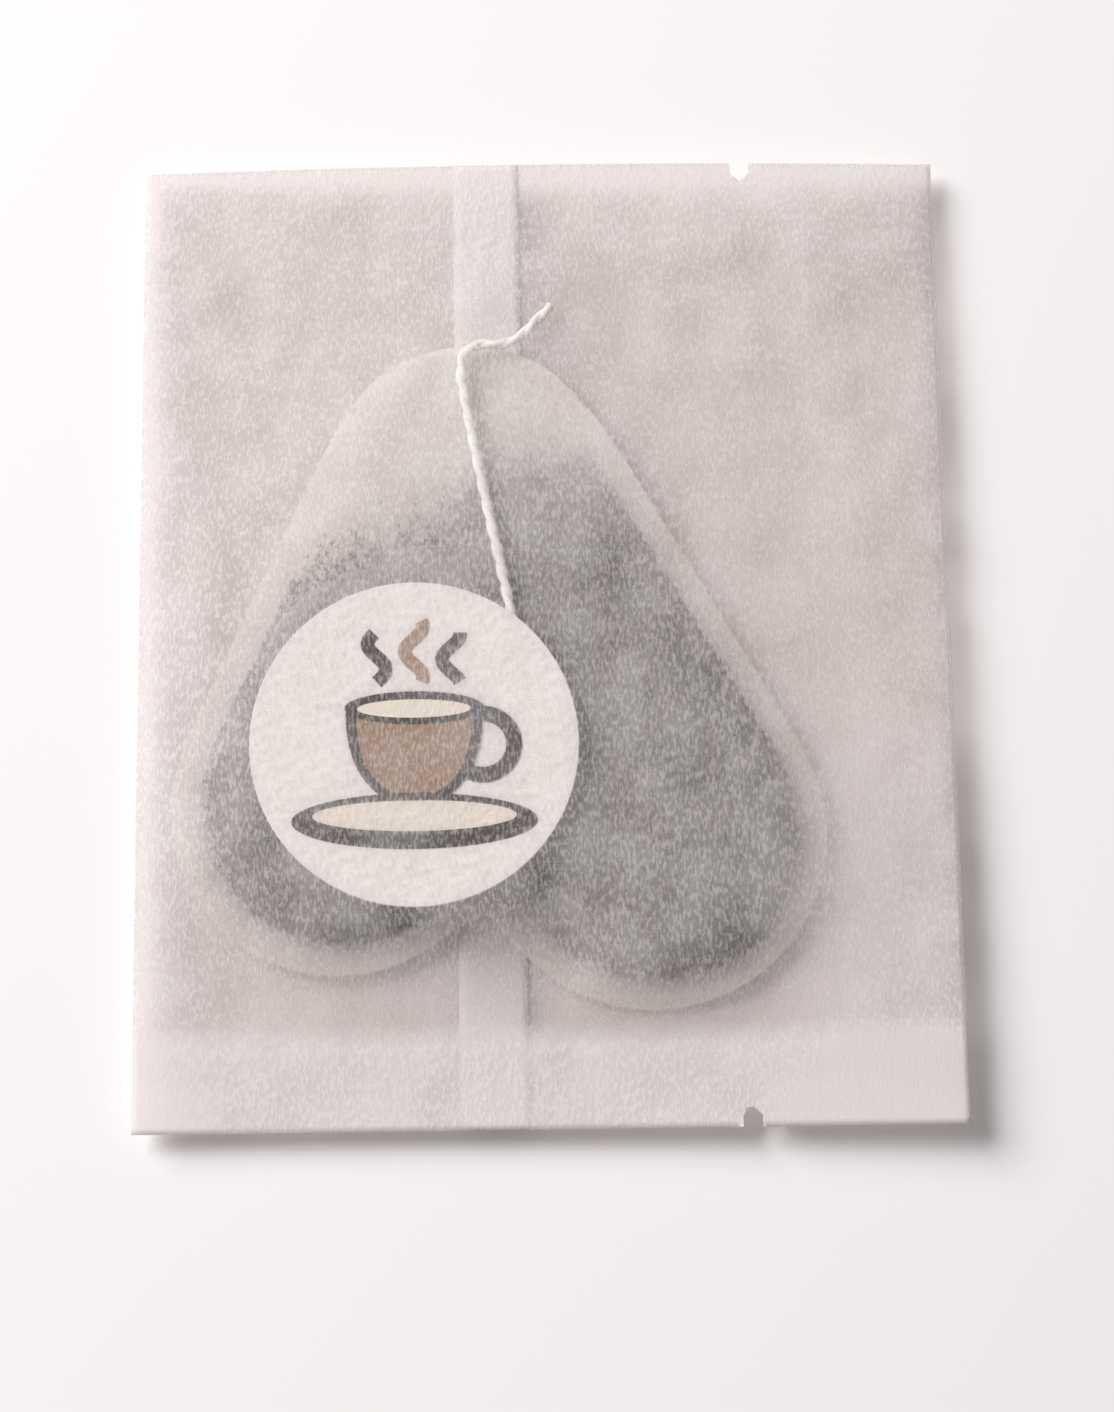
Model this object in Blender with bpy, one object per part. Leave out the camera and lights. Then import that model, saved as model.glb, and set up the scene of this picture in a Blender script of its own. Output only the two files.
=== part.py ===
"""A tea bag in its translucent paper envelope, lying on its back.

Metres, +Z up. The origin is on the table, under the middle of the envelope.
+X runs to the right and +Y to the top of the envelope, as it is seen from above.
"""

import math

import bmesh
import bpy
import numpy as np

MM = 0.001

# Papers and gaps
ENVELOPE_PAPER = 0.12 * MM
POUCH_PAPER = 0.10 * MM
TAG_CARD = 0.30 * MM
REST_GAP = 0.30 * MM
PLY_GAP = 0.40 * MM

# The pouch's outline: a dome over two round lobes, measured from the left lobe's centre
LEFT_LOBE_RADIUS = 16.5 * MM
RIGHT_LOBE_RADIUS = 17.3 * MM
DOME_RADIUS = 15.0 * MM
RIGHT_LOBE_ACROSS = 30.5 * MM
RIGHT_LOBE_DROP = 2.9 * MM
DOME_ACROSS = 13.1 * MM
DOME_RISE = 31.9 * MM
CLEFT_ROUNDING = 3.0 * MM
RIM_WIDTH = 2.5 * MM
RIM_LOW = 1.8 * MM
RIM_HIGH = 3.0 * MM

# The tea: how thick it lies in each lobe, and how it thins towards its edges
TEA_LEFT = 3.8 * MM
TEA_RIGHT = 5.6 * MM
TEA_CLEARANCE = 0.8 * MM
TEA_RISE_START = 18.3 * MM
TEA_RISE_RUN = 16.0 * MM
TEA_LEVEL_RUN = 10.0 * MM
FRONT_SHOULDER = 9.0 * MM
BACK_SHOULDER = 4.0 * MM
TEA_LEVEL = [
    (-15.7 * MM, 9.3 * MM),
    (-9.7 * MM, 16.3 * MM),
    (-1.7 * MM, 22.3 * MM),
    (8.3 * MM, 25.3 * MM),
    (14.3 * MM, 27.8 * MM),
    (19.3 * MM, 30.3 * MM),
    (24.3 * MM, 29.3 * MM),
    (30.3 * MM, 22.8 * MM),
    (37.3 * MM, 16.3 * MM),
    (44.3 * MM, 9.3 * MM),
    (48.3 * MM, 3.3 * MM),
]

# The envelope: the room it leaves round the pouch, its seals, lap and notches
ROOM_LEFT = 3.2 * MM
ROOM_RIGHT = 12.5 * MM
ROOM_TOP = 18.9 * MM
ROOM_BOTTOM = 11.0 * MM
END_SEAL = 9.0 * MM
POCKET_GAP = 0.40 * MM
LAP_CENTRE = -5.35 * MM
LAP_WIDTH = 6.7 * MM
LAP_STEP = 0.40 * MM
LAP_GLUE = 0.10 * MM
NOTCH_WIDTH = 1.9 * MM
NOTCH_SIDE = 1.1 * MM
NOTCH_DEPTH = 1.9 * MM
TOP_NOTCH_FROM_RIGHT = 19.6 * MM
BOTTOM_NOTCH_FROM_RIGHT = 20.7 * MM
LIFT_TOP_LEFT = 1.4 * MM
LIFT_TOP_RIGHT = 2.2 * MM
LIFT_BOTTOM_LEFT = 2.4 * MM
LIFT_BOTTOM_RIGHT = 3.6 * MM
TOP_ARCH = 1.4 * MM
BOTTOM_ARCH = -0.6 * MM

# The tag and the string
TAG_DIAMETER = 31.75 * MM
TAG_ACROSS = 7.6 * MM
TAG_RISE = 5.6 * MM
STRING_DIAMETER = 1.1 * MM
COIL_ACROSS = 10.5 * MM
COIL_RISE = 5.3 * MM
COIL_INNER_TURN = 5.45 * MM
COIL_OUTER_TURN = 6.60 * MM
STRING_STEP = 1.3 * MM
STRING_ROUTE = [
    (-3.25 * MM, -7.60 * MM, 5.87 * MM),
    (-3.10 * MM, -3.00 * MM, 5.87 * MM),
    (-3.40 * MM, 1.90 * MM, 5.80 * MM),
    (-4.15 * MM, 5.80 * MM, 5.30 * MM),
    (-5.30 * MM, 11.40 * MM, 4.55 * MM),
    (-6.50 * MM, 17.60 * MM, 4.30 * MM),
    (-7.60 * MM, 23.60 * MM, 4.28 * MM),
    (-7.95 * MM, 26.40 * MM, 4.30 * MM),
    (-7.55 * MM, 28.30 * MM, 4.34 * MM),
    (-5.85 * MM, 29.15 * MM, 4.34 * MM),
    (-4.00 * MM, 29.10 * MM, 4.30 * MM),
    (-2.30 * MM, 29.80 * MM, 4.15 * MM),
    (-0.60 * MM, 31.55 * MM, 3.80 * MM),
    (1.10 * MM, 33.35 * MM, 3.50 * MM),
]

# How finely the soft sheets are divided
POCKET_COLUMNS = 22
POCKET_ROWS = 22
OBSTACLE_SAMPLES = 4
SETTLE_STEPS = 1500
SPOKES = 48
PLY_RINGS = (0.30, 0.55, 0.72, 0.84, 0.92)
TEA_RINGS = (0.30, 0.55, 0.75, 0.88, 0.96)
TAG_SIDES = 64
COIL_STEPS = 40

# Sizes that follow
POUCH_WIDTH = LEFT_LOBE_RADIUS + RIGHT_LOBE_ACROSS + RIGHT_LOBE_RADIUS
POUCH_BOTTOM = max(LEFT_LOBE_RADIUS, RIGHT_LOBE_DROP + RIGHT_LOBE_RADIUS)
POUCH_LENGTH = POUCH_BOTTOM + DOME_RISE + DOME_RADIUS
WIDTH = ROOM_LEFT + POUCH_WIDTH + ROOM_RIGHT
LENGTH = ROOM_BOTTOM + POUCH_LENGTH + ROOM_TOP
LEFT_LOBE = np.array((-WIDTH / 2 + ROOM_LEFT + LEFT_LOBE_RADIUS, -LENGTH / 2 + ROOM_BOTTOM + POUCH_BOTTOM))
RIGHT_LOBE = LEFT_LOBE + (RIGHT_LOBE_ACROSS, -RIGHT_LOBE_DROP)
DOME = LEFT_LOBE + (DOME_ACROSS, DOME_RISE)
POUCH_HUB = (LEFT_LOBE + RIGHT_LOBE + DOME) / 3
TEA_HUB = (LEFT_LOBE + RIGHT_LOBE) / 2
TEA_BASE = ENVELOPE_PAPER + REST_GAP + POUCH_PAPER + REST_GAP
COIL_BASE = TEA_BASE + TEA_LEFT + REST_GAP + POUCH_PAPER + REST_GAP
TAG_BASE = COIL_BASE + STRING_DIAMETER + REST_GAP
TAG_CENTRE = LEFT_LOBE + (TAG_ACROSS, TAG_RISE)
COIL_CENTRE = LEFT_LOBE + (COIL_ACROSS, COIL_RISE)
SEAL_LINE = LENGTH / 2 - END_SEAL
LAP_OUTER_EDGE = LAP_CENTRE - LAP_WIDTH / 2
LAP_INNER_EDGE = LAP_CENTRE + LAP_WIDTH / 2


def clear_scene():
    for item in list(bpy.data.objects):
        bpy.data.objects.remove(item)


def make_material(name, colour, roughness):
    """A plain finish for one sub-part."""
    material = bpy.data.materials.new(name)
    material.use_nodes = True
    shader = material.node_tree.nodes["Principled BSDF"]
    shader.inputs["Base Color"].default_value = (*colour, 1.0)
    shader.inputs["Roughness"].default_value = roughness
    shader.inputs["Metallic"].default_value = 0.0
    return material


def add_object(name, data, material):
    item = bpy.data.objects.new(name, data)
    bpy.context.scene.collection.objects.link(item)
    if material:
        item.data.materials.append(material)
    return item


# Outlines

def tapered_bar(x, y, start, start_radius, end, end_radius):
    """Signed distance to a bar with round ends of two sizes, negative inside."""
    run = end - start
    length = np.hypot(*run)
    along = ((x - start[0]) * run[0] + (y - start[1]) * run[1]) / length
    across = np.abs((x - start[0]) * run[1] - (y - start[1]) * run[0]) / length
    taper = (start_radius - end_radius) / length
    slope = math.sqrt(1 - taper * taper)
    side = slope * along - taper * across
    near_start = np.hypot(along, across) - start_radius
    near_end = np.hypot(along - length, across) - end_radius
    flank = slope * across + taper * along - start_radius
    return np.where(side < 0, near_start, np.where(side > slope * length, near_end, flank))


def pouch_depth(x, y):
    """How far a point lies inside the pouch's outline, negative outside it."""
    left = np.hypot(x - LEFT_LOBE[0], y - LEFT_LOBE[1]) - LEFT_LOBE_RADIUS
    right = np.hypot(x - RIGHT_LOBE[0], y - RIGHT_LOBE[1]) - RIGHT_LOBE_RADIUS
    blend = np.maximum(CLEFT_ROUNDING - np.abs(left - right), 0) / CLEFT_ROUNDING
    lobes = np.minimum(left, right) - blend * blend * CLEFT_ROUNDING / 4
    left_flank = tapered_bar(x, y, DOME, DOME_RADIUS, LEFT_LOBE, LEFT_LOBE_RADIUS)
    right_flank = tapered_bar(x, y, DOME, DOME_RADIUS, RIGHT_LOBE, RIGHT_LOBE_RADIUS)
    return -np.minimum(lobes, np.minimum(left_flank, right_flank))


def curve_through(points, at):
    """A smooth curve through (position, value) points, read at other positions."""
    place, value = np.array(points).T
    slope = np.gradient(value, place)
    i = np.clip(np.searchsorted(place, at) - 1, 0, len(place) - 2)
    run = place[i + 1] - place[i]
    t = np.clip((at - place[i]) / run, 0, 1)
    start = (1 + 2 * t) * (1 - t) ** 2 * value[i] + t * (1 - t) ** 2 * run * slope[i]
    end = t * t * (3 - 2 * t) * value[i + 1] + t * t * (t - 1) * run * slope[i + 1]
    return start + end


def below_level(x, y):
    """How far a point lies below the line that the tea reaches up to."""
    level = curve_through(TEA_LEVEL, x - LEFT_LOBE[0]) + LEFT_LOBE[1]
    return level - y


def tea_depth(x, y):
    """How far a point lies inside the tea's outline."""
    return np.minimum(pouch_depth(x, y) - RIM_WIDTH - TEA_CLEARANCE, below_level(x, y))


def reach(depth, hub, angles):
    """The distance from the hub to the outline where depth is 0, at each angle."""
    near, far = np.zeros_like(angles), np.full_like(angles, POUCH_LENGTH)
    for _ in range(50):
        middle = (near + far) / 2
        inside = depth(hub[0] + middle * np.cos(angles), hub[1] + middle * np.sin(angles)) > 0
        near, far = np.where(inside, middle, near), np.where(inside, far, middle)
    return near


# Heights

def eased(share):
    """Rises from 0 to 1 with no corner at either end."""
    share = np.clip(share, 0, 1)
    return share * share * (3 - 2 * share)


def shouldered(share):
    """Rises steeply from 0 and rounds off at 1, like the side of a filled bag."""
    share = np.clip(share, 0, 1)
    return np.sqrt(1 - (1 - share) ** 2)


def rim_height(y):
    """Height of the middle of the pouch's rim, lowest at the lobes and highest at the dome."""
    bottom = LEFT_LOBE[1] - POUCH_BOTTOM
    return RIM_LOW + (RIM_HIGH - RIM_LOW) * np.clip((y - bottom) / POUCH_LENGTH, 0, 1)


def tea_thickness(x):
    rise = eased((x - LEFT_LOBE[0] - TEA_RISE_START) / TEA_RISE_RUN)
    return TEA_LEFT + (TEA_RIGHT - TEA_LEFT) * rise


def fullness(x, y, clearance, shoulder):
    """0 where the bag lies flat and 1 where the tea fills it."""
    sides = shouldered((pouch_depth(x, y) - RIM_WIDTH - clearance) / shoulder)
    return sides * eased((below_level(x, y) + TEA_CLEARANCE - clearance) / TEA_LEVEL_RUN)


def front_ply(x, y):
    """Underside of the pouch's front ply."""
    full = fullness(x, y, 0, FRONT_SHOULDER)
    over_tea = TEA_BASE + tea_thickness(x) + REST_GAP
    return (rim_height(y) + PLY_GAP / 2) * (1 - full) + over_tea * full


def back_ply(x, y):
    """Upper side of the pouch's back ply."""
    full = fullness(x, y, 0, BACK_SHOULDER)
    return (rim_height(y) - PLY_GAP / 2) * (1 - full) + (TEA_BASE - REST_GAP) * full


def tea_top(x, y):
    full = fullness(x, y, TEA_CLEARANCE, FRONT_SHOULDER)
    return rim_height(y) * (1 - full) + (TEA_BASE + tea_thickness(x)) * full


def tea_bottom(x, y):
    full = fullness(x, y, TEA_CLEARANCE, BACK_SHOULDER)
    return rim_height(y) * (1 - full) + TEA_BASE * full


def edge_height(x, y):
    """Height of the middle of the envelope's paper along its folds and seals."""
    across, up = x / WIDTH + 0.5, y / LENGTH + 0.5
    bottom = LIFT_BOTTOM_LEFT * (1 - across) + LIFT_BOTTOM_RIGHT * across
    top = LIFT_TOP_LEFT * (1 - across) + LIFT_TOP_RIGHT * across
    arch = 1 - (2 * x / WIDTH) ** 2
    bottom = bottom + BOTTOM_ARCH * arch
    top = top + TOP_ARCH * arch
    return bottom * (1 - up) + top * up


def smooth_route(points, step):
    """Points about a step apart on a smooth curve through the given points."""
    points = np.array(points)
    run = np.concatenate([[0], np.cumsum(np.linalg.norm(np.diff(points, axis=0), axis=1))])
    at = np.linspace(0, run[-1], round(run[-1] / step) + 1)
    return np.column_stack([curve_through(np.column_stack([run, axis]), at) for axis in points.T])


def contents_top(x, y):
    """Highest point of what the envelope holds at each place, or nothing where it is empty."""
    top = np.where(pouch_depth(x, y) > 0, front_ply(x, y) + POUCH_PAPER, -np.inf)
    on_tag = np.hypot(x - TAG_CENTRE[0], y - TAG_CENTRE[1]) < TAG_DIAMETER / 2
    top = np.where(on_tag, np.maximum(top, TAG_BASE + TAG_CARD), top)
    for px, py, pz in smooth_route(STRING_ROUTE, STRING_STEP):
        on_string = np.hypot(x - px, y - py) < STRING_DIAMETER
        top = np.where(on_string, np.maximum(top, pz + STRING_DIAMETER / 2), top)
    return top


def contents_bottom(x, y):
    """Lowest point of what the envelope holds at each place."""
    bottom = np.where(pouch_depth(x, y) > 0, back_ply(x, y) - POUCH_PAPER, np.inf)
    for px, py, pz in smooth_route(STRING_ROUTE, STRING_STEP):
        on_string = np.hypot(x - px, y - py) < STRING_DIAMETER
        bottom = np.where(on_string, np.minimum(bottom, pz - STRING_DIAMETER / 2), bottom)
    return bottom


# The envelope's two faces, settled over what it holds

def spread(field, columns, rows, pick):
    """The highest or lowest value of a field within one grid cell of each grid point."""
    reach_x, reach_y = columns[1] - columns[0], rows[1] - rows[0]
    shifts = np.linspace(-1, 1, 2 * OBSTACLE_SAMPLES + 1)
    x, y = np.meshgrid(columns, rows)
    return pick.reduce([field(x + dx * reach_x, y + dy * reach_y) for dx in shifts for dy in shifts])


def settle(height, low, high):
    """Lets a sheet held by its border pull tight between what lies under it and over it."""
    for _ in range(SETTLE_STEPS):
        middle = (height[1:-1, :-2] + height[1:-1, 2:] + height[:-2, 1:-1] + height[2:, 1:-1]) / 4
        height[1:-1, 1:-1] = np.clip(middle, low[1:-1, 1:-1], high[1:-1, 1:-1])
    return height


def pocket_heights(columns, rows):
    """Outer heights of the envelope's back and front on the grid of its pocket."""
    x, y = np.meshgrid(columns, rows)
    middle = edge_height(x, y)
    wall = ENVELOPE_PAPER + POCKET_GAP / 2
    over = spread(contents_top, columns, rows, np.maximum) + REST_GAP + ENVELOPE_PAPER
    under = spread(contents_bottom, columns, rows, np.minimum) - REST_GAP - ENVELOPE_PAPER
    none = np.full_like(middle, np.inf)
    back = settle(middle - wall, np.zeros_like(middle), np.maximum(under, 0))
    front = settle(middle + wall, np.maximum(over, back + 2 * wall), none)
    return back, front


def add_columns(columns, extra, nearest):
    """The grid's columns with the lap's own put in, and none closer than nearest to those."""
    kept = [c for c in columns[1:-1] if min(abs(c - e) for e in extra) > nearest]
    return np.array(sorted([columns[0], *kept, *extra, columns[-1]]))


def loft(name, sections, material=None):
    """A closed solid through sections of equally many points, with flat ends.

    Each four-sided patch is split from its corner nearest the lower left, so that two
    faces over the same grid are split alike and the wall between them keeps its thickness.
    """
    mesh = bmesh.new()
    rings = [[mesh.verts.new(point) for point in section] for section in sections]
    for low, high in zip(rings, rings[1:]):
        for i, corner in enumerate(low):
            j = (i + 1) % len(low)
            patch = [corner, low[j], high[j], high[i]]
            start = min(range(4), key=lambda k: patch[k].co.x + patch[k].co.y)
            patch = patch[start:] + patch[:start]
            mesh.faces.new(patch[:3])
            mesh.faces.new([patch[0], patch[2], patch[3]])
    mesh.faces.new(rings[0])
    mesh.faces.new(rings[-1])
    bmesh.ops.recalc_face_normals(mesh, faces=mesh.faces)
    data = bpy.data.meshes.new(name)
    mesh.to_mesh(data)
    mesh.free()
    return add_object(name, data, material)


def cut(target, cutter):
    """Takes the cutter's shape out of the target."""
    cutter.hide_render = True
    cutter.display_type = "WIRE"
    modifier = target.modifiers.new(cutter.name, "BOOLEAN")
    modifier.operation = "DIFFERENCE"
    modifier.solver = "EXACT"
    modifier.object = cutter


def pocket_section(columns, back, front, y):
    """One slice of the pocket, with the slit that runs out between the lap's two layers."""
    paper, glue = ENVELOPE_PAPER, LAP_GLUE
    below = 5 * paper
    step_edge = LAP_OUTER_EDGE - LAP_STEP
    step_wall = step_edge - paper

    def at(x, field, rise):
        return (x, y, float(np.interp(x, columns, field)) + rise)

    inner = [c for c in columns if abs(c) < WIDTH / 2 - paper / 2]
    lap = [c for c in inner if LAP_OUTER_EDGE < c < LAP_INNER_EDGE]
    over_lap = [c for c in inner if step_edge <= c < LAP_INNER_EDGE]
    right = [c for c in inner if c > LAP_INNER_EDGE]
    left = [c for c in inner if c < step_wall]
    section = [at(step_edge, back, -below), at(LAP_OUTER_EDGE, back, -below)]
    section += [at(c, back, paper) for c in [LAP_OUTER_EDGE, *lap, LAP_INNER_EDGE, *right]]
    section += [at(c, front, -paper) for c in reversed(inner)]
    section += [at(c, back, paper) for c in [*left, step_wall]]
    section += [at(c, back, 2 * paper + glue) for c in [step_wall, *over_lap, LAP_INNER_EDGE]]
    section += [at(c, back, paper + glue) for c in [LAP_INNER_EDGE, *reversed(over_lap)]]
    return section


def notch_cutter(name, x, edge, inward):
    """A pointed tear notch's outline, stood up through the end seal."""
    half, over = NOTCH_WIDTH / 2, NOTCH_DEPTH
    outline = [
        (-half, -over),
        (half, -over),
        (half, NOTCH_SIDE),
        (0, NOTCH_DEPTH),
        (-half, NOTCH_SIDE),
    ]
    tall = LIFT_TOP_RIGHT + LIFT_BOTTOM_RIGHT + TOP_ARCH + 1 * MM
    ring = [(x + px, edge + inward * py) for px, py in outline]
    return loft(name, [[(px, py, z) for px, py in ring] for z in (-1 * MM, tall)])


def build_envelope():
    """One web of paper, folded at its sides, lapped down the back and sealed at both ends."""
    material = make_material("envelope_paper", (0.80, 0.77, 0.76), 0.85)
    paper = ENVELOPE_PAPER
    grid_columns = np.linspace(-WIDTH / 2, WIDTH / 2, POCKET_COLUMNS + 1)
    rows = np.linspace(-SEAL_LINE, SEAL_LINE, POCKET_ROWS + 1)
    back, front = pocket_heights(grid_columns, rows)

    step_edge = LAP_OUTER_EDGE - LAP_STEP
    extra = [
        -WIDTH / 2 + paper,
        step_edge - paper,
        step_edge,
        LAP_OUTER_EDGE,
        LAP_INNER_EDGE,
        WIDTH / 2 - paper,
    ]
    columns = add_columns(grid_columns, extra, 2 * LAP_STEP)
    back = np.array([np.interp(columns, grid_columns, row) for row in back])
    front = np.array([np.interp(columns, grid_columns, row) for row in front])

    def skin_section(y, low, high):
        lower = [(x, y, z) for x, z in zip(columns, low)]
        upper = [(x, y, z) for x, z in zip(columns, high)]
        return lower + upper[::-1]

    def seal_section(y):
        middle = edge_height(columns, y)
        return skin_section(y, middle - paper, middle + paper)

    ends = [LENGTH / 2, LENGTH / 2 - END_SEAL / 2]
    sections = [seal_section(-y) for y in ends]
    sections += [skin_section(y, low, high) for y, low, high in zip(rows, back, front)]
    sections += [seal_section(y) for y in reversed(ends)]
    envelope = loft("envelope", sections, material)

    slices = [pocket_section(columns, low, high, y) for y, low, high in zip(rows, back, front)]
    cut(envelope, loft("pocket_cutter", slices))
    top_x = WIDTH / 2 - TOP_NOTCH_FROM_RIGHT
    bottom_x = WIDTH / 2 - BOTTOM_NOTCH_FROM_RIGHT
    cut(envelope, notch_cutter("top_notch_cutter", top_x, LENGTH / 2, -1))
    cut(envelope, notch_cutter("bottom_notch_cutter", bottom_x, -LENGTH / 2, 1))
    return envelope


# The pouch and the tea

def spoke_rings(hub, reaches):
    """Rings of (x, y) points round a hub, one for each set of reaches."""
    angles = np.linspace(0, 2 * math.pi, SPOKES, endpoint=False)
    return [(hub[0] + r * np.cos(angles), hub[1] + r * np.sin(angles)) for r in reaches]


def dished_sheet(name, hub, rings, height, material):
    """A sheet of rings round a hub at the given height, before it gets its thickness."""
    mesh = bmesh.new()
    middle = mesh.verts.new((*hub, height(*hub)))
    loops = []
    for x, y in rings:
        loops.append([mesh.verts.new(point) for point in zip(x, y, height(x, y))])
    for i in range(SPOKES):
        j = (i + 1) % SPOKES
        mesh.faces.new([middle, loops[0][i], loops[0][j]])
        for near, far in zip(loops, loops[1:]):
            mesh.faces.new([near[i], far[i], far[j], near[j]])
    bmesh.ops.triangulate(mesh, faces=mesh.faces)
    data = bpy.data.meshes.new(name)
    mesh.to_mesh(data)
    mesh.free()
    return add_object(name, data, material)


def build_ply(name, height, offset, material):
    """One ply of the pouch: a dished sheet with its flat rim, thickened to one side."""
    angles = np.linspace(0, 2 * math.pi, SPOKES, endpoint=False)
    edge = reach(pouch_depth, POUCH_HUB, angles)
    seam = reach(lambda x, y: pouch_depth(x, y) - RIM_WIDTH, POUCH_HUB, angles)
    rings = spoke_rings(POUCH_HUB, [*(seam * share for share in PLY_RINGS), seam, edge])
    ply = dished_sheet(name, POUCH_HUB, rings, height, material)
    thickness = ply.modifiers.new("paper", "SOLIDIFY")
    thickness.thickness = POUCH_PAPER
    thickness.offset = offset
    return ply


def build_pouch():
    material = make_material("filter_paper", (0.86, 0.83, 0.79), 0.9)
    front = build_ply("pouch_front", front_ply, 1, material)
    back = build_ply("pouch_back", back_ply, -1, material)
    return front, back


def build_tea():
    """The loose tea as one mass, rounded at its edge and thicker in the right lobe."""
    material = make_material("tea_leaf", (0.05, 0.04, 0.035), 0.95)
    angles = np.linspace(0, 2 * math.pi, SPOKES, endpoint=False)
    edge = reach(tea_depth, TEA_HUB, angles)
    rings = spoke_rings(TEA_HUB, [*(edge * share for share in TEA_RINGS), edge])
    mesh = bmesh.new()

    def face_loops(height, outer):
        loops = [[mesh.verts.new(p) for p in zip(x, y, height(x, y))] for x, y in rings[:-1]]
        return [*loops, outer]

    x, y = rings[-1]
    outer = [mesh.verts.new(point) for point in zip(x, y, rim_height(y))]
    for height in (tea_top, tea_bottom):
        loops = face_loops(height, outer)
        middle = mesh.verts.new((*TEA_HUB, height(*TEA_HUB)))
        for i in range(SPOKES):
            j = (i + 1) % SPOKES
            mesh.faces.new([middle, loops[0][i], loops[0][j]])
            for near, far in zip(loops, loops[1:]):
                mesh.faces.new([near[i], far[i], far[j], near[j]])
    bmesh.ops.recalc_face_normals(mesh, faces=mesh.faces)
    data = bpy.data.meshes.new("tea_fill")
    mesh.to_mesh(data)
    mesh.free()
    return add_object("tea_fill", data, material)


# The tag and the string

def build_tag():
    """The round card tag, flat on the coiled string."""
    material = make_material("tag_card", (0.85, 0.82, 0.80), 0.7)
    mesh = bmesh.new()
    radius = TAG_DIAMETER / 2
    bmesh.ops.create_cone(
        mesh, cap_ends=True, segments=TAG_SIDES, radius1=radius, radius2=radius, depth=TAG_CARD
    )
    data = bpy.data.meshes.new("tag")
    mesh.to_mesh(data)
    mesh.free()
    tag = add_object("tag", data, material)
    tag.location = (*TAG_CENTRE, TAG_BASE + TAG_CARD / 2)
    return tag


def build_string(material):
    """The stretch of string from the coil to its cut tail, as a plain tube."""
    curve = bpy.data.curves.new("string", "CURVE")
    curve.dimensions = "3D"
    curve.bevel_depth = STRING_DIAMETER / 2
    curve.bevel_resolution = 2
    curve.use_fill_caps = True
    route = smooth_route(STRING_ROUTE, STRING_STEP)
    spline = curve.splines.new("POLY")
    spline.points.add(len(route) - 1)
    for point, place in zip(spline.points, route):
        point.co = (*place, 1)
    return add_object("string", curve, material)


def build_coil(material):
    """The outer shape of the string's turns, as a turned ring under the tag."""
    inner = COIL_INNER_TURN - STRING_DIAMETER / 2
    outer = COIL_OUTER_TURN + STRING_DIAMETER / 2
    mesh = bmesh.new()
    profile = [(inner, 0), (outer, 0), (outer, STRING_DIAMETER), (inner, STRING_DIAMETER)]
    corners = [mesh.verts.new((x, 0, z)) for x, z in profile]
    edges = [mesh.edges.new((a, b)) for a, b in zip(corners, [*corners[1:], corners[0]])]
    bmesh.ops.spin(
        mesh, geom=corners + edges, cent=(0, 0, 0), axis=(0, 0, 1),
        angle=2 * math.pi, steps=COIL_STEPS, use_merge=True,
    )
    bmesh.ops.recalc_face_normals(mesh, faces=mesh.faces)
    data = bpy.data.meshes.new("string_coil")
    mesh.to_mesh(data)
    mesh.free()
    coil = add_object("string_coil", data, material)
    coil.location = (*COIL_CENTRE, COIL_BASE)
    return coil


def main():
    clear_scene()
    build_envelope()
    build_pouch()
    build_tea()
    build_tag()
    cotton = make_material("cotton_string", (0.90, 0.88, 0.84), 0.9)
    build_string(cotton)
    build_coil(cotton)


main()
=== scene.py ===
import math

import bmesh
import bpy
import numpy as np
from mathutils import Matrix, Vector
from mathutils.bvhtree import BVHTree


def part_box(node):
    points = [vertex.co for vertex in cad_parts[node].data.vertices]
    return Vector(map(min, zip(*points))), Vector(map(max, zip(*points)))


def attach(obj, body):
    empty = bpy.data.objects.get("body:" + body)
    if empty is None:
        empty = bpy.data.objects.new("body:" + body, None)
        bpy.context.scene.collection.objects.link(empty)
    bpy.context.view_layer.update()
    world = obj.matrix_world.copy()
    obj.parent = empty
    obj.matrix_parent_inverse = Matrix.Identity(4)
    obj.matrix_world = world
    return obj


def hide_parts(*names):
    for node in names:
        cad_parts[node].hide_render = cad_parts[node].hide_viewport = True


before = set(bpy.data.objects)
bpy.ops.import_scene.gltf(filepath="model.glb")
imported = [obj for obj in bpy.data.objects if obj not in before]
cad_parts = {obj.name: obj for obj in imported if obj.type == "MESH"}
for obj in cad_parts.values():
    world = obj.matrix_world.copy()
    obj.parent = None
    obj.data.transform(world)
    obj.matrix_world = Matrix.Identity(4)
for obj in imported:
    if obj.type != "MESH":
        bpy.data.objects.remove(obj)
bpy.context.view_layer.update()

MM = 0.001
X, Y = 0, 1
FROM_ABOVE, FROM_BELOW = -1, 1

# The camera, fitted to the envelope's corners and the tag in the photograph
IMAGE_WIDTH_PX = 1114
CAMERA_PLACE = (-2.21 * MM, -60.97 * MM, 278.4 * MM)
CAMERA_TURN_DEG = (11.0, -0.54, -0.80)
CAMERA_CLIP_START = 0.01
FOCAL_LENGTH_PX = 2865
SENSOR_WIDTH_MM = 36.0

# Light: a soft key from the upper left and an even, faintly warm surround
KEY_DIRECTION = (-0.64, 0.44, 0.60)
KEY_DISTANCE = 1.3
KEY_SIZE = 0.80
KEY_POWER = 22.0
KEY_COLOUR = (1.0, 0.985, 0.985)
SURROUND_COLOUR = (1.0, 0.955, 0.94)
SURROUND_LEVEL = 0.29
CLEAR_BOUNCES = 24

FLOOR_COLOUR = (0.93, 0.91, 0.915, 1.0)
FLOOR_ROUGHNESS = 0.9
FLOOR_SIZE = 2.0
FLOOR_DROP = 0.02 * MM

# The papers' fibre strokes and clouding: features per metre along each axis, and the noise's used range
FIBRE_SCALE = (3900.0, 1350.0, 1350.0)
FIBRE_DETAIL = 3.0
FIBRE_RANGE = (0.47, 0.61)
CLOUD_SCALE = (210.0, 170.0, 170.0)
CLOUD_DETAIL = 5.0
CLOUD_RANGE = (0.36, 0.64)

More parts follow.
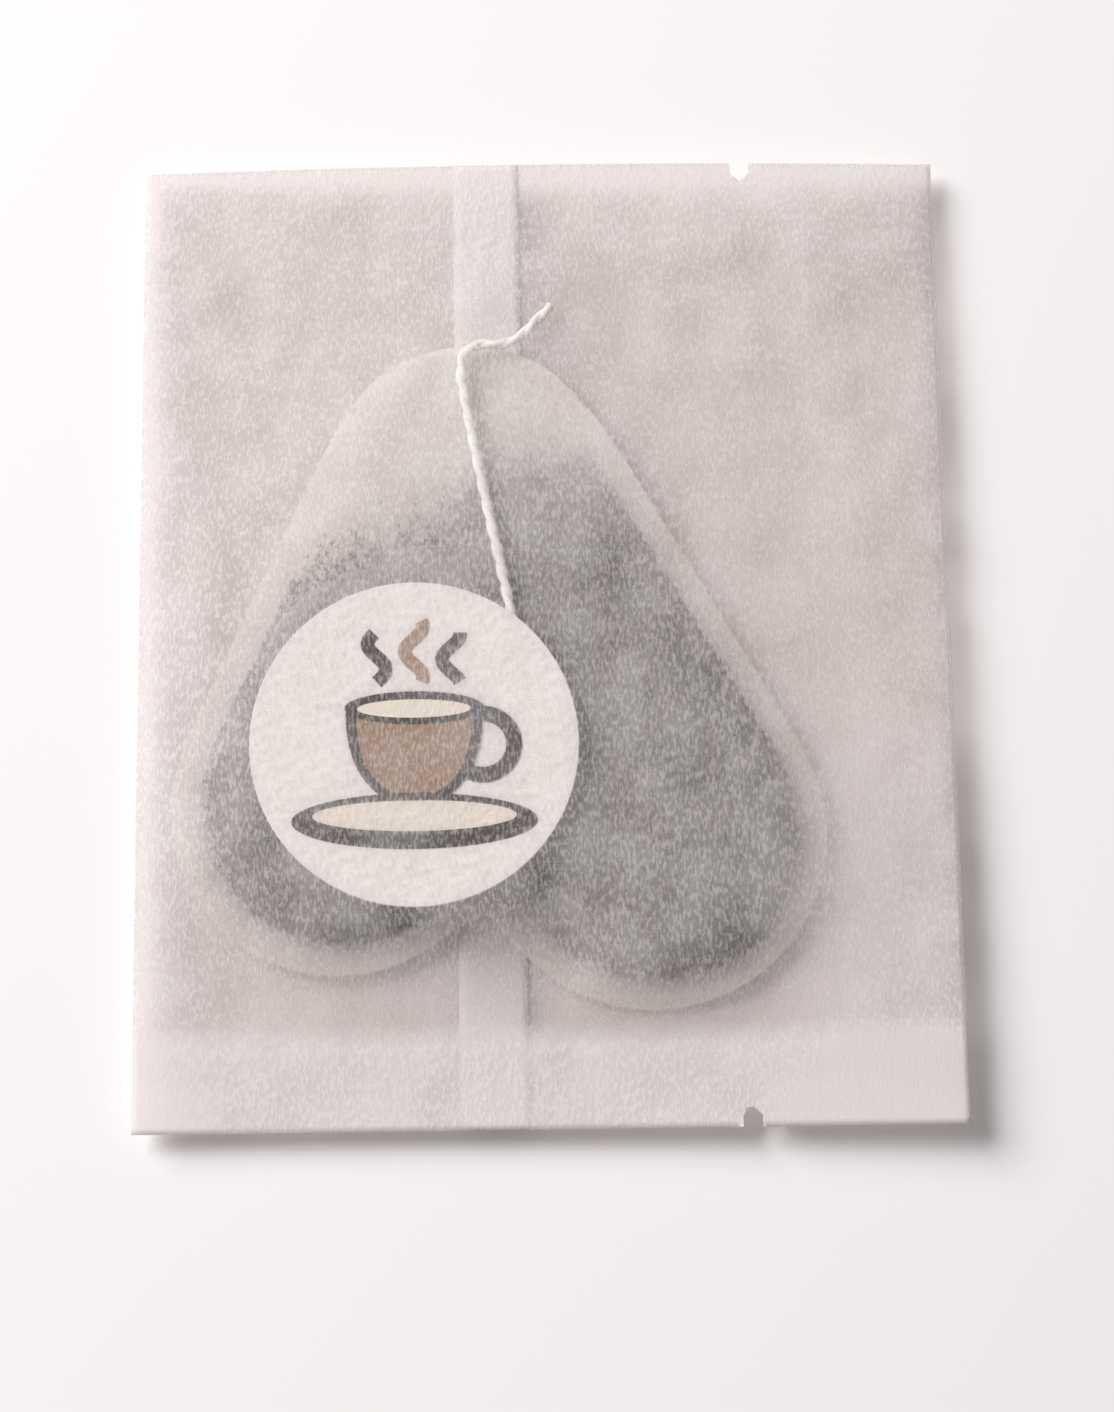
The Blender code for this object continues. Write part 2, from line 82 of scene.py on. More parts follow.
# What all the papers share; the glow is the part of the scattered light that comes out behind
PAPER_ROUGHNESS = 0.85
PAPER_GLOW = 0.45
PAPER_RELIEF = 0.05 * MM
PAPER_RELIEF_STRENGTH = 0.25
MOST_OPACITY = 0.97
DULL_SPECULAR = 0.2

# Each paper: its colour, the tint of what shows through it, and its opacity
ENVELOPE_FRONT = dict(
    colour=(0.97, 0.945, 0.935), clear_colour=(0.965, 0.945, 0.94), body=0.12, fibre_gain=0.31, cloud_gain=0.19
)
# The back is the same paper as the front, made darker and less clear as painted shade: the shaded table seen
# through it and the shadow round its edges
ENVELOPE_BACK_SHADED = dict(
    colour=(0.88, 0.845, 0.835), clear_colour=(0.83, 0.80, 0.79), body=0.30, fibre_gain=0.20, cloud_gain=0.26
)
ENVELOPE_LAP = dict(
    colour=(0.99, 0.98, 0.975), clear_colour=(0.995, 0.99, 0.985), body=0.86, fibre_gain=0.08, cloud_gain=0.05
)
FILTER_PAPER = dict(
    colour=(0.99, 0.97, 0.96), clear_colour=(0.995, 0.99, 0.985), body=0.17, fibre_gain=0.14, cloud_gain=0.06
)

# Gains in opacity, and the stretches over which they set in. The seals, the crease and the dome are where a
# paper looks denser; the gains at the left fold and the low right are painted light, making the paper whiter
# where it faces the key.
BOTTOM_SEAL_GAIN = 0.50
TOP_SEAL_GAIN = 0.10
SEAL_FADE = 1.3 * MM
# The left fold is made whiter as painted light, where it faces the key
LEFT_FOLD_PAINTED_LIGHT = 0.34
LEFT_FOLD_LIGHT_REACH = 9.0 * MM
# The low right is made whiter as painted light, where the paper faces the key
LOW_RIGHT_PAINTED_LIGHT = 0.36
LOW_RIGHT_X = (18 * MM, 30 * MM)
LOW_RIGHT_Y = (-6 * MM, -20 * MM)
CREASE_GAIN = 0.12
DOME_GAIN = 0.30
DOME_Y = (9 * MM, 19 * MM)

# The opaque finishes: two tones, grain in features per metre, roughness and the depth of the relief
MOTTLE_DETAIL = 4.0
MOTTLE_RANGE = (0.35, 0.68)
MOTTLE_RELIEF_STRENGTH = 0.5
COTTON = dict(dark=(0.90, 0.88, 0.85), light=(0.98, 0.97, 0.96), grain=5000, roughness=0.9, relief=0.04 * MM)
LEAF_MASS = dict(
    dark=(0.010, 0.007, 0.009), light=(0.062, 0.047, 0.050), grain=1500, roughness=0.9, relief=0.15 * MM
)
LEAF_BITS = dict(
    dark=(0.012, 0.009, 0.011), light=(0.115, 0.088, 0.086), grain=700, roughness=0.8, relief=0.05 * MM
)
CARD = dict(dark=(0.82, 0.79, 0.775), light=(0.89, 0.865, 0.85), grain=900, roughness=0.7, relief=0.01 * MM)
INK = dict(grain=1200, roughness=0.6, relief=0.01 * MM)
DARK_INK = dict(dark=(0.030, 0.020, 0.018), light=(0.055, 0.038, 0.032), **INK)
TAN_INK = dict(dark=(0.30, 0.19, 0.12), light=(0.38, 0.25, 0.16), **INK)
CREAM_INK = dict(dark=(0.80, 0.73, 0.64), light=(0.86, 0.80, 0.71), **INK)

# Reading heights off the CAD faces
RAY_START = 50 * MM
FILL_ROUNDS = 12

# The envelope's grid, its wrinkles, its seals, its crease, its lap and its notches
SKIN_COLUMNS = 128
SKIN_ROWS = 156
SKIN_SMOOTHING = 4
SKIN_INSET = 0.05 * MM
WRINKLES = 26
WRINKLE_PITCH_MM = (5, 16)
WRINKLE_HEIGHT = 0.045 * MM
WRINKLE_FULL_DEPTH = 1.5 * MM
END_SEAL = 9.0 * MM
CREASE_X = 26.6 * MM
CREASE_WIDTH = 0.30 * MM
LAP_LEFT = -8.70 * MM
LAP_RIGHT = -2.00 * MM
LAP_RISE = 0.12 * MM
LAP_PAPER = 0.06 * MM
LAP_COLUMNS = 9
NOTCH_WIDTH = 1.9 * MM
NOTCH_SIDE = 1.1 * MM
NOTCH_DEPTH = 1.9 * MM
NOTCH_OUTSIDE = 2 * MM
NOTCH_LEVELS = (-2 * MM, 9 * MM)
TOP_NOTCH_X = 20.4 * MM
BOTTOM_NOTCH_X = 19.3 * MM

# The pouch and the tea mass: the CAD's own meshes, welded and subdivided
WELD_DISTANCE = 0.001 * MM
SUBDIVISIONS = 2

# Leaf bits bedded in the tea, and leaf dust between the plies round it
FLAKES = 9000
FLAKE_SIZE = (0.35 * MM, 1.0 * MM)
FLAKE_SLENDERNESS = (0.2, 0.5)
FLAKE_THICKNESS = 0.10 * MM
DUST = 5500
DUST_SPREAD = 2.6 * MM
DUST_BELOW_PLY = 0.16 * MM
DUST_FROM_RIM = 3.2 * MM
TEA_EDGE_REACH = 2 * MM

# Above the tag the tea lies thin: the band starts on a slanted line and ends beside the string
THIN_SLANT = 0.33
THIN_START = 6.4 * MM
THIN_FULL = 10.4 * MM
THIN_RIGHT = (-5.8 * MM, -2.2 * MM)
THIN_CLEARNESS = 0.80
THIN_BARENESS = 0.85

# The string, with the route that the CAD gives it. The coil steps out to its outer turn in the
# last quarter of its first turn.
STRING_DIAMETER = 1.1 * MM
STRING_TWIST = 2.3 * MM
STRING_RING_STEP = 0.15 * MM
STRING_SIDES = 18
PLY_WAIST = 0.17
COIL_CENTRE = (-9.80 * MM, -11.95 * MM)
COIL_HEIGHT = 5.87 * MM
COIL_INNER_TURN = 5.45 * MM
COIL_OUTER_TURN = 6.60 * MM
COIL_TURNS = 2
COIL_POINTS = 97
STEP_OUT_START = 0.75
STEP_OUT_RUN = 0.25
STRING_ROUTE = [
    (-3.25 * MM, -7.60 * MM, 5.87 * MM),
    (-3.10 * MM, -3.00 * MM, 5.87 * MM),
    (-3.40 * MM, 1.90 * MM, 5.80 * MM),
    (-4.15 * MM, 5.80 * MM, 5.30 * MM),
    (-5.30 * MM, 11.40 * MM, 4.55 * MM),
    (-6.50 * MM, 17.60 * MM, 4.30 * MM),
    (-7.60 * MM, 23.60 * MM, 4.28 * MM),
    (-7.95 * MM, 26.40 * MM, 4.30 * MM),
    (-7.55 * MM, 28.30 * MM, 4.34 * MM),
    (-5.85 * MM, 29.15 * MM, 4.34 * MM),
    (-4.00 * MM, 29.10 * MM, 4.30 * MM),
    (-2.30 * MM, 29.80 * MM, 4.15 * MM),
    (-0.60 * MM, 31.55 * MM, 3.80 * MM),
    (1.10 * MM, 33.35 * MM, 3.50 * MM),
]

# The tag's disc
TAG_SEGMENTS = 160
TAG_EDGE_ROUND = 0.08 * MM
TAG_EDGE_STEPS = 3
LEVEL_TOLERANCE = 0.01 * MM

# The tag's print, a cup on its saucer with steam, in millimetres from the tag's centre.
# An oval is its middle and its two half widths.
PRINT_THICKNESS = 0.03 * MM
PRINT_LIFT = 0.02 * MM
OVAL_POINTS = 48
SAUCER = (0, -7.6, 11.8, 2.7)
SAUCER_TOP = (0, -7.1, 9.8, 1.5)
CUP_RIM = (0, 3.4, 6.7, 1.6)
CUP_TEA = (0, 3.3, 5.5, 0.9)
CUP_HALF_WIDTH = 6.6
CUP_TOP = 3.4
CUP_DEPTH = 9.0
CUP_ROUNDNESS = 2.4
CUP_TAPER = 0.86
CUP_MIDDLE = -1.1
CUP_POINTS = 15
CUP_FACE = 0.84
HANDLE_CENTRE = (6.6, -0.2)
HANDLE_RADIUS = 3.0
HANDLE_WIDTH = 1.5
HANDLE_SWEEP_DEG = range(-115, 116, 10)
STEAM_PLACES = (-3.6, 0.0, 3.6)
STEAM_FOOT = 6.0
STEAM_TOPS = (10.8, 12.0, 10.8)
STEAM_POINTS = 20
STEAM_SWAY = 0.9
STEAM_BENDS = 1.25
STEAM_WIDTH = 1.3

rng = np.random.default_rng(7)


# Node helpers

def feed(tree, item, **values):
    """Sets a node's inputs. A key names an input or is i and its number; a socket is linked."""
    for key, value in values.items():
        numbered = key[0] == "i" and key[1:].isdigit()
        target = item.inputs[int(key[1:]) if numbered else key.replace("_", " ")]
        if isinstance(value, bpy.types.NodeSocket):
            tree.links.new(value, target)
        else:
            target.default_value = value
    return item


def node(tree, kind, **values):
    return feed(tree, tree.nodes.new(kind), **values)


def math_node(tree, operation, first, second):
    item = node(tree, "ShaderNodeMath", i0=first, i1=second)
    item.operation = operation
    return item.outputs[0]


def remap(tree, value, low, high, to_low=0.0, to_high=1.0):
    return node(tree, "ShaderNodeMapRange", i0=value, i1=low, i2=high, i3=to_low, i4=to_high).outputs[0]


def object_place(tree):
    return node(tree, "ShaderNodeTexCoord").outputs["Object"]


def noise(tree, scale, detail):
    """Noise over the object's own coordinates; scale is in features per metre along each axis."""
    stretched = node(tree, "ShaderNodeMapping", Vector=object_place(tree), Scale=scale)
    return node(tree, "ShaderNodeTexNoise", Vector=stretched.outputs[0], Scale=1.0, Detail=detail).outputs[0]


def new_group(name, inputs, outputs):
    """A node group with named sockets, given as names with their kinds, and its two end nodes."""
    group = bpy.data.node_groups.new(name, "ShaderNodeTree")
    for way, sockets in (("INPUT", inputs), ("OUTPUT", outputs)):
        for socket, kind in sockets.items():
            group.interface.new_socket(socket, in_out=way, socket_type=f"NodeSocket{kind}")
    return group, group.nodes.new("NodeGroupInput"), group.nodes.new("NodeGroupOutput")


def fibre_group():
    """How opaque a soft paper is: its body, its fibre strokes and its clouding."""
    gains = {"Body": "Float", "Fibre Gain": "Float", "Cloud Gain": "Float"}
    group, given, end = new_group("paper_fibres", gains, {"Opacity": "Float", "Fibres": "Float"})
    strokes = remap(group, noise(group, FIBRE_SCALE, FIBRE_DETAIL), *FIBRE_RANGE)
    clouds = remap(group, noise(group, CLOUD_SCALE, CLOUD_DETAIL), *CLOUD_RANGE)
    dense_strokes = math_node(group, "MULTIPLY", strokes, given.outputs["Fibre Gain"])
    dense_clouds = math_node(group, "MULTIPLY", clouds, given.outputs["Cloud Gain"])
    marks = math_node(group, "ADD", dense_strokes, dense_clouds)
    feed(group, end, Opacity=math_node(group, "ADD", marks, given.outputs["Body"]), Fibres=strokes)
    return group


def grain_group():
    """The grain of the opaque finishes."""
    group, given, end = new_group("finish_grain", {"Scale": "Vector"}, {"Grain": "Float"})
    feed(group, end, Grain=noise(group, given.outputs["Scale"], MOTTLE_DETAIL))
    return group


PAPER_FIBRES = fibre_group()
FINISH_GRAIN = grain_group()


def placed_group(tree, group, **values):
    item = tree.nodes.new("ShaderNodeGroup")
    item.node_tree = group
    return feed(tree, item, **values)


def new_material(name):
    material = bpy.data.materials.new(name)
    material.use_nodes = True
    tree = material.node_tree
    return material, tree, tree.nodes["Principled BSDF"], tree.nodes["Material Output"]


def paper_material(name, colour, clear_colour, body, fibre_gain, cloud_gain, zones=()):
    """Thin fibrous paper: part of the light goes straight through, and the fibres scatter the rest.

    A zone is a gain in opacity, with the (axis, start, full) stretches over which it sets in.
    """
    material, tree, principled, output = new_material(name)
    fibres = placed_group(tree, PAPER_FIBRES, Body=body, Fibre_Gain=fibre_gain, Cloud_Gain=cloud_gain)
    opacity = fibres.outputs["Opacity"]
    axes = node(tree, "ShaderNodeSeparateXYZ", Vector=object_place(tree))
    for gain, stretches in zones:
        share = gain
        for axis, start, full in stretches:
            share = math_node(tree, "MULTIPLY", remap(tree, axes.outputs[axis], start, full), share)
        opacity = math_node(tree, "ADD", opacity, share)
    opacity = math_node(tree, "MINIMUM", opacity, MOST_OPACITY)
    bump = node(
        tree, "ShaderNodeBump",
        Strength=PAPER_RELIEF_STRENGTH, Distance=PAPER_RELIEF, Height=fibres.outputs["Fibres"],
    )
    feed(
        tree, principled, Base_Color=(*colour, 1.0), Roughness=PAPER_ROUGHNESS,
        Specular_IOR_Level=DULL_SPECULAR, Normal=bump.outputs[0],
    )
    glow = node(tree, "ShaderNodeBsdfTranslucent", Color=(*colour, 1.0))
    sheet = node(tree, "ShaderNodeMixShader", i0=PAPER_GLOW, i1=principled.outputs[0], i2=glow.outputs[0])
    clear = node(tree, "ShaderNodeBsdfTransparent", Color=(*clear_colour, 1.0))
    mixed = node(tree, "ShaderNodeMixShader", i0=opacity, i1=clear.outputs[0], i2=sheet.outputs[0])
    feed(tree, output, Surface=mixed.outputs[0])
    return material


def mottled_material(name, dark, light, grain, roughness, relief):
    """An opaque finish whose colour wanders between two tones, with its own fine relief."""
    material, tree, principled, _ = new_material(name)
    mottle = placed_group(tree, FINISH_GRAIN, Scale=(grain, grain, grain)).outputs["Grain"]
    tone = node(tree, "ShaderNodeValToRGB", Fac=mottle)
    for stop, position, colour in zip(tone.color_ramp.elements, MOTTLE_RANGE, (dark, light)):
        stop.position = position
        stop.color = (*colour, 1.0)
    bump = node(tree, "ShaderNodeBump", Strength=MOTTLE_RELIEF_STRENGTH, Distance=relief, Height=mottle)
    feed(
        tree, principled, Base_Color=tone.outputs[0], Roughness=roughness,
        Specular_IOR_Level=DULL_SPECULAR, Normal=bump.outputs[0],
    )
    return material


def thin_out(material):
    """Lets the tea's colour fade where it lies thin."""
    tree = material.node_tree
    axes = node(tree, "ShaderNodeSeparateXYZ", Vector=object_place(tree))
    slant = math_node(tree, "MULTIPLY", axes.outputs[X], THIN_SLANT)
    rise = remap(tree, math_node(tree, "SUBTRACT", axes.outputs[Y], slant), THIN_START, THIN_FULL)
    beside = remap(tree, axes.outputs[X], *THIN_RIGHT, 1.0, 0.0)
    thin = math_node(tree, "MULTIPLY", math_node(tree, "MULTIPLY", rise, beside), THIN_CLEARNESS)
    solid, clear = tree.nodes["Principled BSDF"], node(tree, "ShaderNodeBsdfTransparent")
    mixed = node(tree, "ShaderNodeMixShader", i0=thin, i1=solid.outputs[0], i2=clear.outputs[0])
    feed(tree, tree.nodes["Material Output"], Surface=mixed.outputs[0])
    return material


# Mesh helpers

def linked(name, data):
    """A new object in the scene."""
    item = bpy.data.objects.new(name, data)
    bpy.context.scene.collection.objects.link(item)
    return item


def written_mesh(name, mesh):
    """The bmesh as a new mesh; the bmesh is freed."""
    data = bpy.data.meshes.new(name)
    mesh.to_mesh(data)
    mesh.free()
    return data


def listed_mesh(name, vertices, faces):
    data = bpy.data.meshes.new(name)
    data.from_pydata([tuple(map(float, v)) for v in vertices], [], faces)
    return data


def link_piece(name, data, material):
    """A piece that rides on the one body."""
    piece = linked(name, data)
    data.materials.clear()
    data.materials.append(material)
    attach(piece, "root")
    return piece


def add_piece(name, vertices, faces, material, smooth=True):
    data = listed_mesh(name, vertices, faces)
    data.polygons.foreach_set("use_smooth", [smooth] * len(data.polygons))
    data.update()
    return link_piece(name, data, material)


def cad_surface(name):
    """The surface of a CAD node, to be met by straight lines."""
    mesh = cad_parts[name].data
    return BVHTree.FromPolygons([v.co for v in mesh.vertices], [p.vertices[:] for p in mesh.polygons])


def surface_height(surface, x, y, way):
    """Height where an upright line, cast FROM_ABOVE or FROM_BELOW, meets a surface, or NaN."""
    hit = surface.ray_cast(Vector((x, y, -way * RAY_START)), Vector((0, 0, way)))[0]
    return hit.z if hit else math.nan


def misses(surface, x, y, way):
    return math.isnan(surface_height(surface, x, y, way))


def filled(heights):
    """Heights with each missing one taken from the nearest in its column or row."""
    for _ in range(FILL_ROUNDS):
        for axis in (0, 1):
            for step in (1, -1):
                shifted = np.roll(heights, step, axis)
                heights = np.where(np.isnan(heights), shifted, heights)
    return heights


def height_map(surface, xs, ys, way):
    return filled(np.array([[surface_height(surface, x, y, way) for x in xs] for y in ys]))


def softened(heights, rounds):
    """The heights, each drawn towards the mean of its four neighbours; the outermost stay."""
    for _ in range(rounds):
        inner = heights[1:-1, 1:-1] * 4 + heights[:-2, 1:-1] + heights[2:, 1:-1]
        heights[1:-1, 1:-1] = (inner + heights[1:-1, :-2] + heights[1:-1, 2:]) / 8
    return heights


def two_layers(xs, ys, first, second, first_on_top):
    """Vertices and faces of two height grids over the same places, joined round the rim."""
    x, y = np.meshgrid(xs, ys)
    vertices = [*zip(x.ravel(), y.ravel(), first.ravel()), *zip(x.ravel(), y.ravel(), second.ravel())]
    count = x.size
    index = np.arange(count).reshape(x.shape)
    quads = np.stack([index[:-1, :-1], index[:-1, 1:], index[1:, 1:], index[1:, :-1]], -1).reshape(-1, 4)
    rim = [int(i) for i in (*index[0], *index[1:, -1], *index[-1, -2::-1], *index[-2:0:-1, 0])]
    pairs = list(zip(rim, [*rim[1:], rim[0]]))
    if first_on_top:
        faces = [*quads.tolist(), *(quads[:, ::-1] + count).tolist()]
        faces += [(here, here + count, after + count, after) for here, after in pairs]
    else:
        faces = [*quads[:, ::-1].tolist(), *(quads + count).tolist()]
        faces += [(here, after, after + count, here + count) for here, after in pairs]
    return vertices, faces


# The envelope

def wrinkles(x, y):
    """A low relief of soft random waves, as handled paper has."""
    relief = np.zeros_like(x)
    for _ in range(WRINKLES):
        angle, pitch = rng.uniform(0, math.pi), rng.uniform(*WRINKLE_PITCH_MM) * MM
        start = rng.uniform(0, 2 * math.pi)
        relief += np.sin((x * math.cos(angle) + y * math.sin(angle)) * 2 * math.pi / pitch + start)
    return relief / math.sqrt(WRINKLES) * WRINKLE_HEIGHT


def notch_cutter(x, edge, inward):
    """An upright prism over an end's edge, pointed the way that is inward, 1 or -1 along Y."""
    half, side = NOTCH_WIDTH / 2, NOTCH_SIDE
    outline = [(-half, -NOTCH_OUTSIDE), (half, -NOTCH_OUTSIDE), (half, side), (0, NOTCH_DEPTH), (-half, side)]
    corners = [(x + px, edge + inward * py, z) for z in NOTCH_LEVELS for px, py in outline]
    count = len(outline)
    sides = [(i, (i + 1) % count, (i + 1) % count + count, i + count) for i in range(count)]
    ends = [tuple(reversed(range(count))), tuple(range(count, 2 * count))]
    data = listed_mesh("notch", corners, [*sides, *ends])
    mesh = bmesh.new()
    mesh.from_mesh(data)
    bmesh.ops.recalc_face_normals(mesh, faces=mesh.faces)
    mesh.to_mesh(data)
    mesh.free()
    return linked("notch", data)


def cut_notches(data, cutters):
    """The mesh with the cutters' shapes taken out of it."""
    whole = linked("whole", data)
    for cutter in cutters:
        modifier = whole.modifiers.new(cutter.name, "BOOLEAN")
        modifier.operation = "DIFFERENCE"
        modifier.solver = "EXACT"
        modifier.object = cutter
    bpy.context.view_layer.update()
    seen = whole.evaluated_get(bpy.context.evaluated_depsgraph_get())
    result = bpy.data.meshes.new_from_object(seen)
    for item in (whole, *cutters):
        bpy.data.objects.remove(item)
    return result


def envelope_papers():
    """The papers of the envelope's front, back and lap; the back's paper is the front's made darker, as
    painted shade.
    """
    low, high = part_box("envelope")
    bottom_inner, top_inner = low.y + END_SEAL, high.y - END_SEAL
    bottom_seal = (BOTTOM_SEAL_GAIN, [(Y, bottom_inner + SEAL_FADE, bottom_inner - SEAL_FADE)])
    top_seal = (TOP_SEAL_GAIN, [(Y, top_inner - SEAL_FADE, top_inner + SEAL_FADE)])
    # Painted light: the left fold is made whiter where it faces the key
    left_fold_painted_light = (LEFT_FOLD_PAINTED_LIGHT, [(X, low.x + LEFT_FOLD_LIGHT_REACH, low.x)])
    # Painted light: the low right is made whiter where it faces the key, on both plies
    low_right_painted_light = (LOW_RIGHT_PAINTED_LIGHT, [(X, *LOW_RIGHT_X), (Y, *LOW_RIGHT_Y)])
    crease = (CREASE_GAIN, [(X, CREASE_X - CREASE_WIDTH, CREASE_X), (X, CREASE_X + CREASE_WIDTH, CREASE_X)])
    front_zones = [bottom_seal, top_seal, left_fold_painted_light, low_right_painted_light, crease]
    front = paper_material("envelope_front_look", **ENVELOPE_FRONT, zones=front_zones)
    back = paper_material("envelope_back_painted_shade", **ENVELOPE_BACK_SHADED, zones=[bottom_seal, low_right_painted_light])
    lap = paper_material("envelope_lap_look", **ENVELOPE_LAP)
    return front, back, lap


def build_envelope():
    """The envelope's skin, drawn through the CAD faces at a fine pitch, and its inner lap."""
    front_paper, shaded_back_paper, lap_paper = envelope_papers()
    low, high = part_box("envelope")
    surface = cad_surface("envelope")
    xs = np.linspace(low.x, high.x, SKIN_COLUMNS)
    ys = np.linspace(low.y, high.y, SKIN_ROWS)
    sample_x = np.clip(xs, low.x + SKIN_INSET, high.x - SKIN_INSET)
    sample_y = np.clip(ys, low.y + SKIN_INSET, high.y - SKIN_INSET)
    top = height_map(surface, sample_x, sample_y, FROM_ABOVE)
    under = height_map(surface, sample_x, sample_y, FROM_BELOW)
    # Each point of the back takes the lowest height of itself and its neighbours left and right
    under = np.minimum(under, np.minimum(np.roll(under, 1, 1), np.roll(under, -1, 1)))
    top, under = softened(top, SKIN_SMOOTHING), softened(under, SKIN_SMOOTHING)
    relief = wrinkles(*np.meshgrid(xs, ys)) * np.clip((top - under) / WRINKLE_FULL_DEPTH, 0, 1)
    top = np.minimum(top + relief, high.z)

    data = listed_mesh("envelope_skin", *two_layers(xs, ys, top, under, first_on_top=True))
    cutters = [notch_cutter(TOP_NOTCH_X, high.y, -1), notch_cutter(BOTTOM_NOTCH_X, low.y, 1)]
    data = cut_notches(data, cutters)
    # Faces that aren't four-sided lie at the notches, where smooth shading would show false shadows
    data.polygons.foreach_set("use_smooth", [len(p.vertices) == 4 for p in data.polygons])
    envelope = link_piece("envelope_skin", data, front_paper)
    # The faces that look down take the back's darker paper, painted shade
    data.materials.append(shaded_back_paper)
    data.polygons.foreach_set("material_index", [int(p.normal.z < 0) for p in data.polygons])
    build_lap(xs, ys, under, lap_paper)
    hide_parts("envelope")


def build_lap(xs, ys, under, paper):
    """The inner layer of the lap down the back, a strip that lies on the back's inside."""
    across = np.linspace(LAP_LEFT, LAP_RIGHT, LAP_COLUMNS)
    heights = np.array([np.interp(across, xs, row) for row in under]) + LAP_RISE
    vertices, faces = two_layers(across, ys, heights, heights + LAP_PAPER, first_on_top=False)
    add_piece("envelope_lap", vertices, faces, paper)


# The pouch and the tea

def welded_copy(name, node_name):
    """A copy of a CAD node's mesh, joined up, ready to be subdivided."""
    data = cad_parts[node_name].data.copy()
    data.name = name
    mesh = bmesh.new()
    mesh.from_mesh(data)
    bmesh.ops.remove_doubles(mesh, verts=mesh.verts, dist=WELD_DISTANCE)
    for face in mesh.faces:
        face.smooth = True
    mesh.to_mesh(data)
    mesh.free()
    return data


def smooth_piece(name, node_name, material):
    piece = link_piece(name, welded_copy(name, node_name), material)
    fine = piece.modifiers.new("fine", "SUBSURF")
    fine.levels = SUBDIVISIONS
    fine.render_levels = SUBDIVISIONS
    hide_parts(node_name)


def build_pouch():
    dome = (DOME_GAIN, [(Y, *DOME_Y)])
    paper = paper_material("filter_paper_look", **FILTER_PAPER, zones=[dome])
    smooth_piece("pouch_front_paper", "pouch_front", paper)
    smooth_piece("pouch_back_paper", "pouch_back", paper)


def flake(centre, angle, size, shape, bend):
    """The four corners of one sliver of leaf."""
    along = np.array((math.cos(angle), math.sin(angle), 0)) * size / 2
    side = np.array((-math.sin(angle), math.cos(angle), 0)) * size / 2 * shape
    up = np.array((0, 0, FLAKE_THICKNESS))
    corners = [centre - along + up * bend[0], centre - side + up * bend[1]]
    return corners + [centre + along + up * bend[2], centre + side - up * (1 + bend[3])]


def flakes_piece(name, centres, material):
    """Slivers at the given places, each a closed shape of four faces."""
    vertices, faces = [], []
    for centre in centres:
        k = len(vertices)
        angle, size = rng.uniform(0, math.pi), rng.uniform(*FLAKE_SIZE)
        shape, bend = rng.uniform(*FLAKE_SLENDERNESS), rng.uniform(-1, 1, 4)
        vertices += flake(np.array(centre), angle, size, shape, bend)
        faces += [(k, k + 1, k + 2), (k, k + 2, k + 3), (k, k + 3, k + 1), (k + 1, k + 3, k + 2)]
    add_piece(name, vertices, faces, material, smooth=False)


def thinness(x, y):
    """0 where the tea lies full and 1 where it lies thin."""
    rise = np.clip((y - THIN_SLANT * x - THIN_START) / (THIN_FULL - THIN_START), 0, 1)
    return rise * np.clip((THIN_RIGHT[1] - x) / (THIN_RIGHT[1] - THIN_RIGHT[0]), 0, 1)


def bedded_places(tea):
    """Places of the bits bedded in the tea's surface, and those of them near its upper or right edge."""
    low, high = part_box("tea_fill")
    bedded, edge = [], []
    while len(bedded) < FLAKES:
        x, y = rng.uniform(low.x, high.x), rng.uniform(low.y, high.y)
        z = surface_height(tea, x, y, FROM_ABOVE)
        if not math.isnan(z) and rng.uniform() > THIN_BARENESS * thinness(x, y):
            bedded.append((x, y, z))
            beyond = [(x, y + TEA_EDGE_REACH), (x + TEA_EDGE_REACH, y)]
            if any(misses(tea, px, py, FROM_ABOVE) for px, py in beyond):
                edge.append((x, y))
    return bedded, edge


def scattered_places(tea, ply, edge):
    """Places beside the tea and under the front ply, clear of the pouch's rim."""
    scattered = []
    while len(scattered) < DUST:
        x, y = np.array(edge[rng.integers(len(edge))]) + rng.normal(0, DUST_SPREAD, 2)
        steps = [(DUST_FROM_RIM, 0), (-DUST_FROM_RIM, 0), (0, DUST_FROM_RIM), (0, -DUST_FROM_RIM)]
        inside = not any(misses(ply, x + dx, y + dy, FROM_BELOW) for dx, dy in steps)
        if inside and misses(tea, x, y, FROM_ABOVE):
            scattered.append((x, y, surface_height(ply, x, y, FROM_BELOW) - DUST_BELOW_PLY))
    return scattered


def build_tea():
    """The tea mass, with cut leaf bedded in its surface and scattered between the plies round it."""
    smooth_piece("tea_mass", "tea_fill", thin_out(mottled_material("leaf", **LEAF_MASS)))
    bits = mottled_material("leaf_bits", **LEAF_BITS)
    tea, ply = cad_surface("tea_fill"), cad_surface("pouch_front")
    bedded, edge = bedded_places(tea)
    scattered = scattered_places(tea, ply, edge)
    flakes_piece("tea_leaf_bits", bedded, bits)
    flakes_piece("tea_leaf_scatter", scattered, bits)


# The string

def curve_through(points, at):
    """A smooth curve through (position, value) points, read at other positions."""
    place, value = np.array(points).T
    slope = np.gradient(value, place)
    i = np.clip(np.searchsorted(place, at) - 1, 0, len(place) - 2)
    run = place[i + 1] - place[i]
    t = np.clip((at - place[i]) / run, 0, 1)
    start = (1 + 2 * t) * (1 - t) ** 2 * value[i] + t * (1 - t) ** 2 * run * slope[i]
    end = t * t * (3 - 2 * t) * value[i + 1] + t * t * (t - 1) * run * slope[i + 1]
    return start + end


def run_along(points):
    """How far along the line each of its points lies."""
    return np.concatenate([[0], np.cumsum(np.linalg.norm(np.diff(points, axis=0), axis=1))])


def even_points(points, step):
    """A smooth line through the points, as points a step apart."""
    points = np.array(points)
    run = run_along(points)
    at = np.linspace(0, run[-1], round(run[-1] / step) + 1)
    return np.column_stack([curve_through(np.column_stack([run, axis]), at) for axis in points.T])


